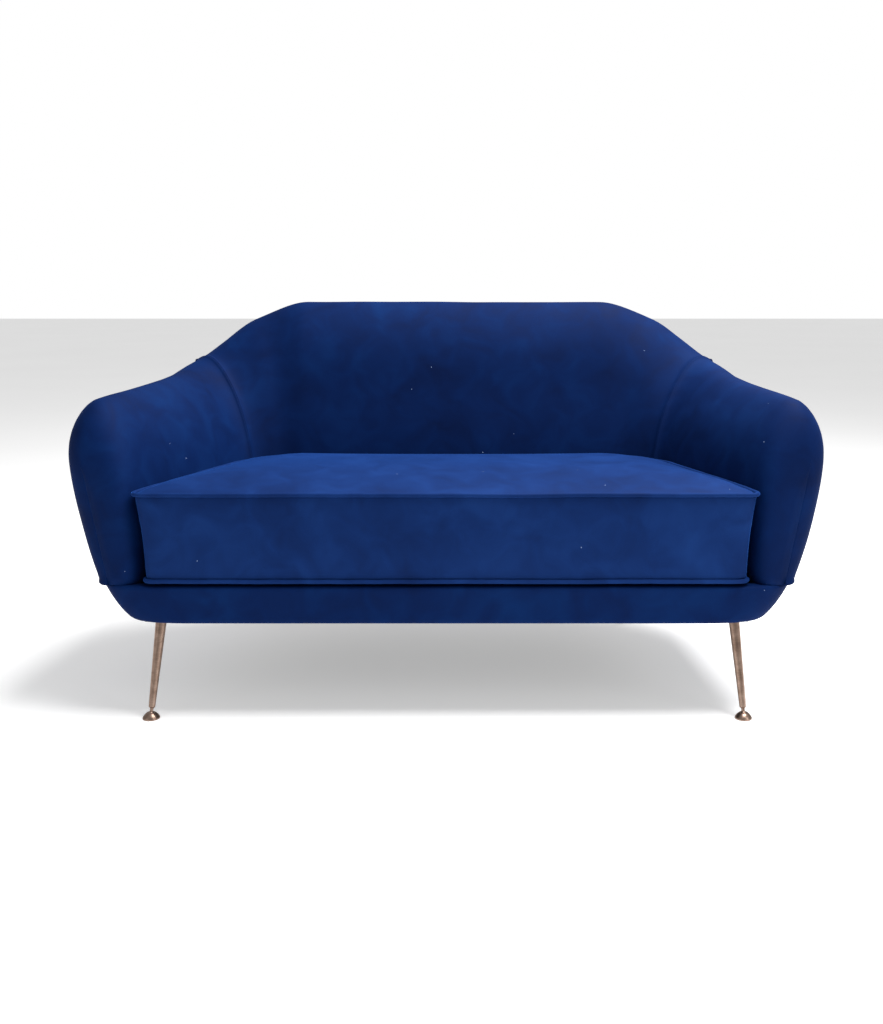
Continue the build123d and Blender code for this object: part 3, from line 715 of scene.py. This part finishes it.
# ---------------------------------------------------------------- materials
class Finish:
    """A material under construction: one shader and the nodes that feed it."""

    def __init__(self, name, **constants):
        self.material = bpy.data.materials.new(name)
        self.material.use_nodes = True
        self.tree = self.material.node_tree
        self.tree.nodes.clear()
        output = self.tree.nodes.new("ShaderNodeOutputMaterial")
        self.shader = self.tree.nodes.new("ShaderNodeBsdfPrincipled")
        self.tree.links.new(self.shader.outputs[0], output.inputs["Surface"])
        for socket, value in constants.items():
            self.shader.inputs[socket.replace("_", " ")].default_value = value
        self.place = self.tree.nodes.new("ShaderNodeTexCoord").outputs["Object"]

    def link(self, source, target):
        self.tree.links.new(source, target)

    def stretched(self, scale):
        node = self.tree.nodes.new("ShaderNodeMapping")
        node.inputs["Scale"].default_value = scale
        self.link(self.place, node.inputs["Vector"])
        return node.outputs["Vector"]

    def noise(self, scale, detail=2.0, distortion=0.0, stretch=None):
        node = self.tree.nodes.new("ShaderNodeTexNoise")
        node.inputs["Scale"].default_value = scale
        node.inputs["Detail"].default_value = detail
        node.inputs["Distortion"].default_value = distortion
        self.link(self.stretched(stretch) if stretch else self.place, node.inputs["Vector"])
        return node.outputs["Fac"]

    def ramp(self, source, stops):
        node = self.tree.nodes.new("ShaderNodeValToRGB")
        elements = node.color_ramp.elements
        while len(elements) < len(stops):
            elements.new(0.5)
        for element, (position, colour) in zip(elements, stops):
            element.position = position
            element.color = (*colour, 1) if len(colour) == 3 else colour
        self.link(source, node.inputs["Fac"])
        return node.outputs["Color"]

    def mix(self, factor, first, second, mode="MIX"):
        node = self.tree.nodes.new("ShaderNodeMix")
        node.data_type = "RGBA"
        node.blend_type = mode
        sockets = (node.inputs[0], node.inputs[6], node.inputs[7])
        for socket, value in zip(sockets, (factor, first, second)):
            if hasattr(value, "links"):
                self.link(value, socket)
            else:
                socket.default_value = value
        return node.outputs[2]

    def maths(self, operation, first, second=0.0, third=0.0):
        node = self.tree.nodes.new("ShaderNodeMath")
        node.operation = operation
        for socket, value in zip(node.inputs, (first, second, third)):
            if hasattr(value, "links"):
                self.link(value, socket)
            else:
                socket.default_value = value
        return node.outputs[0]

    def colour(self, source):
        self.link(source, self.shader.inputs["Base Color"])

    def roughness(self, source, low, high):
        node = self.tree.nodes.new("ShaderNodeMapRange")
        node.inputs["To Min"].default_value = low
        node.inputs["To Max"].default_value = high
        self.link(source, node.inputs["Value"])
        self.link(node.outputs["Result"], self.shader.inputs["Roughness"])

    def bump(self, source, depth, strength=1.0):
        node = self.tree.nodes.new("ShaderNodeBump")
        node.inputs["Strength"].default_value = strength
        node.inputs["Distance"].default_value = depth
        self.link(source, node.inputs["Height"])
        if self.shader.inputs["Normal"].links:
            self.link(self.shader.inputs["Normal"].links[0].from_socket, node.inputs["Normal"])
        self.link(node.outputs["Normal"], self.shader.inputs["Normal"])

    def lint(self, base, scale, size, tint):
        """Sparse pale specks of lint caught in the pile."""
        cells = self.tree.nodes.new("ShaderNodeTexVoronoi")
        cells.inputs["Scale"].default_value = scale
        self.link(self.stretched((1.0, 1.0, 0.55)), cells.inputs["Vector"])
        near = self.maths("LESS_THAN", cells.outputs["Distance"], size)
        chosen = self.tree.nodes.new("ShaderNodeSeparateColor")
        self.link(cells.outputs["Color"], chosen.inputs["Color"])
        rare = self.maths("GREATER_THAN", chosen.outputs["Red"], 0.80)
        return self.mix(self.maths("MULTIPLY", near, rare), base, tint)


def velvet(name, deep, usual, light, sheen):
    """Short-pile velvet: brushed marks, pile grain, a sheen towards the edges and a little lint."""
    finish = Finish(name, Sheen_Weight=sheen, Sheen_Roughness=0.30, Sheen_Tint=(0.05, 0.24, 1.0, 1),
                    Specular_IOR_Level=0.05)
    clouds = finish.noise(3.2, 3.0, 0.3)
    brushed = finish.noise(15.0, 5.0, 0.8)
    pile = finish.noise(950.0, 2.0)
    level = finish.maths("MULTIPLY_ADD", brushed, 0.45, finish.maths("MULTIPLY", clouds, 0.45))
    level = finish.maths("MULTIPLY_ADD", pile, 0.14, level)
    base = finish.ramp(level, [(0.34, deep), (0.52, usual), (0.74, light)])
    finish.colour(finish.lint(base, 42.0, 0.030, (0.30, 0.40, 0.62, 1)))
    finish.roughness(brushed, 0.62, 0.82)
    finish.bump(pile, 0.0005, 0.35)
    finish.bump(brushed, 0.0012, 0.25)
    return finish.material


def beech():
    """Pale brown wood with a grain along its length."""
    finish = Finish("beech", Specular_IOR_Level=0.3)
    grain = finish.noise(26.0, 5.0, 1.4, (1.0, 1.0, 7.0))
    flecks = finish.noise(420.0, 2.0, 0.0, (1.0, 6.0, 1.0))
    base = finish.ramp(grain, [(0.30, (0.42, 0.26, 0.14)), (0.55, (0.58, 0.39, 0.23)),
                               (0.80, (0.70, 0.50, 0.31))])
    spots = finish.ramp(flecks, [(0.4, (0.30, 0.17, 0.09)), (0.7, (0.75, 0.56, 0.36))])
    finish.colour(finish.mix(0.25, base, spots))
    finish.roughness(grain, 0.55, 0.75)
    finish.bump(flecks, 0.0004, 0.3)
    return finish.material


def foam():
    """Cream upholstery foam with open cells."""
    finish = Finish("foam", Specular_IOR_Level=0.15)
    cells = finish.noise(700.0, 3.0)
    clouds = finish.noise(9.0, 3.0)
    base = finish.ramp(clouds, [(0.3, (0.72, 0.62, 0.40)), (0.7, (0.84, 0.76, 0.56))])
    pores = finish.ramp(cells, [(0.35, (0.45, 0.37, 0.22)), (0.6, (0.88, 0.82, 0.64))])
    finish.colour(finish.mix(0.3, base, pores))
    finish.roughness(cells, 0.85, 1.0)
    finish.bump(cells, 0.0008, 0.6)
    return finish.material


def woven(name, dark, light, threads, strength=0.5):
    """Plain weave: two crossed sets of threads."""
    finish = Finish(name, Specular_IOR_Level=0.2)
    heights = []
    for direction in ("X", "Y"):
        wave = finish.tree.nodes.new("ShaderNodeTexWave")
        wave.bands_direction = direction
        wave.inputs["Scale"].default_value = threads
        wave.inputs["Distortion"].default_value = 0.6
        wave.inputs["Detail"].default_value = 1.0
        finish.link(finish.place, wave.inputs["Vector"])
        heights.append(wave.outputs["Fac"])
    weave = finish.maths("MULTIPLY", *heights)
    fuzz = finish.noise(60.0, 3.0)
    finish.colour(finish.ramp(finish.maths("MULTIPLY_ADD", fuzz, 0.5, finish.maths("MULTIPLY", weave, 0.6)),
                              [(0.2, dark), (0.8, light)]))
    finish.roughness(fuzz, 0.75, 0.95)
    finish.bump(weave, 0.0004, strength)
    return finish.material


def brushed_metal(name, dark, light, low, high):
    """Metal with fine turned marks and a patchy, dulled surface."""
    finish = Finish(name, Metallic=1.0)
    marks = finish.noise(60.0, 4.0, 0.0, (1.0, 1.0, 30.0))
    patches = finish.noise(45.0, 4.0, 0.7)
    level = finish.maths("MULTIPLY_ADD", marks, 0.4, finish.maths("MULTIPLY", patches, 0.6))
    finish.colour(finish.ramp(level, [(0.34, dark), (0.66, light)]))
    finish.roughness(level, low, high)
    finish.bump(marks, 0.0002, 0.25)
    return finish.material


def zip_tape():
    """Dark woven tape with closely spaced teeth."""
    finish = Finish("zip_tape", Specular_IOR_Level=0.3)
    teeth = finish.tree.nodes.new("ShaderNodeTexWave")
    teeth.bands_direction = "X"
    teeth.inputs["Scale"].default_value = 110.0
    finish.link(finish.place, teeth.inputs["Vector"])
    finish.colour(finish.ramp(teeth.outputs["Fac"], [(0.3, (0.006, 0.010, 0.035)),
                                                     (0.7, (0.02, 0.035, 0.10))]))
    finish.roughness(teeth.outputs["Fac"], 0.45, 0.7)
    finish.bump(teeth.outputs["Fac"], 0.0008, 0.8)
    return finish.material


# The shell wears a darker copy of the same velvet as the cushion: its colour is painted shade for the
# upright back and arms, which the overhead lamp barely reaches.
SHADED_SHELL_VELVET = velvet("velvet", (0.0003, 0.0058, 0.038),
                      (0.0006, 0.0100, 0.060), (0.0015, 0.018, 0.090), 0.05)
# The cushion's copy of the velvet is lighter: its colour is painted light, standing in for the overhead
# lamp falling on the seat top.
LIT_CUSHION_VELVET = velvet("velvet_cushion", (0.0018, 0.011, 0.060),
                        (0.0031, 0.018, 0.092), (0.0065, 0.031, 0.140), 0.50)
FINISHES = {
    "velvet": SHADED_SHELL_VELVET,
    "velvet_cushion": LIT_CUSHION_VELVET,
    "foam": foam(),
    "beech": beech(),
    "webbing": woven("webbing", (0.12, 0.07, 0.035), (0.42, 0.30, 0.17), 190.0),
    "cambric": woven("cambric", (0.006, 0.006, 0.007), (0.035, 0.035, 0.038), 420.0),
    "zip_tape": zip_tape(),
    "bronzed_brass": brushed_metal("bronzed_brass", (0.20, 0.13, 0.095), (0.42, 0.30, 0.24),
                                   0.26, 0.42),
    "zinc_steel": brushed_metal("zinc_steel", (0.40, 0.40, 0.38), (0.66, 0.66, 0.63), 0.25, 0.40),
}


# ---------------------------------------------------------------- pieces
def wear(piece, material):
    """Put one finish on a piece."""
    piece.data.materials.clear()
    piece.data.materials.append(material)


pairs = [(inside_back(), ["inside_back_cover", "back_foam"]), (outside_back(), ["outside_back_cover"]),
         (border(), ["border_cover", "border_foam"])]
for side, name in ((1, "right"), (-1, "left")):
    inside, outside = arm(side)
    pairs += [(inside, [f"inside_arm_cover_{name}", f"arm_foam_{name}"]),
              (outside, [f"outside_arm_cover_{name}"])]
for piece, nodes in pairs:
    thick(piece)
    wear(piece, SHADED_SHELL_VELVET)
    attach(piece, "frame")
    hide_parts(*nodes)

cushion = filled_cushion()
wear(cushion, LIT_CUSHION_VELVET)
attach(cushion, "cushion")
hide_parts("cushion_top", "cushion_border", "cushion_underside", "cushion_foam")
for name, height, node in (("cushion_piping_top", PIPE_TOP, "piping_top"),
                           ("cushion_piping_bottom", PIPE_LOW, "piping_bottom")):
    wear(cushion_piping(name, height, node), LIT_CUSHION_VELVET)

slots = {part["node"]: part["material_slot"] for part in frame["record"]["subparts"]}
for name, node in frame["nodes"].items():
    wear(node, FINISHES[slots[name]])


# ---------------------------------------------------------------- stage, lights and camera
def floor():
    """Plain pale floor."""
    mesh = bpy.data.meshes.new("floor")
    mesh.from_pydata([(-30, -30, 0), (30, -30, 0), (30, 30, 0), (-30, 30, 0)], [], [(0, 1, 2, 3)])
    plane = bpy.data.objects.new("floor", mesh)
    scene.collection.objects.link(plane)
    finish = Finish("floor", Roughness=0.9, Specular_IOR_Level=0.1, Emission_Color=(1, 1, 1, 1),
                    Emission_Strength=0.35)
    clouds = finish.noise(0.8, 2.0)
    finish.colour(finish.ramp(clouds, [(0.3, (0.90, 0.90, 0.90)), (0.7, (0.94, 0.94, 0.94))]))
    plane.data.materials.append(finish.material)


def area_light(name, place, target, size, power):
    """White rectangular lamp that points at a target."""
    data = bpy.data.lights.new(name, "AREA")
    data.shape = "RECTANGLE"
    data.size, data.size_y = size
    data.energy = power
    lamp = bpy.data.objects.new(name, data)
    scene.collection.objects.link(lamp)
    lamp.location = place
    lamp.rotation_euler = (Vector(target) - Vector(place)).to_track_quat("-Z", "Y").to_euler()


floor()
area_light("overhead", (0.9, -0.1, 2.9), (0.0, -0.1, 0.4), (2.4, 1.6), 195)
area_light("front_right", (2.8, -2.2, 1.9), (0.1, 0, 0.4), (1.4, 1.2), 16)
area_light("front_left", (-2.8, -2.6, 1.4), (-0.2, 0, 0.4), (1.6, 1.4), 6)

world = bpy.data.worlds.new("studio")
scene.world = world
world.use_nodes = True
sky = world.node_tree
sky.nodes["Background"].inputs["Color"].default_value = (1, 1, 1, 1)
seen = sky.nodes.new("ShaderNodeLightPath")
strength = sky.nodes.new("ShaderNodeMapRange")
strength.inputs["To Min"].default_value = 0.40
strength.inputs["To Max"].default_value = 1.0
sky.links.new(seen.outputs["Is Camera Ray"], strength.inputs["Value"])
sky.links.new(strength.outputs["Result"], sky.nodes["Background"].inputs["Strength"])
scene.view_settings.view_transform = "Standard"

FOCAL = 1100 / 1024     # focal length as a share of the frame's long side
SHIFT = -46 / 1024      # sideways shift, as a share of the same side
PITCH = 11.45           # degrees by which the camera looks down
lens = bpy.data.cameras.new("camera")
lens.sensor_width = 36
lens.lens = FOCAL * lens.sensor_width
lens.shift_x = SHIFT
camera = bpy.data.objects.new("camera", lens)
scene.collection.objects.link(camera)
camera.location = (0.080, -2.424, 0.838)
camera.rotation_euler = (radians(90 - PITCH), 0, 0)
scene.camera = camera
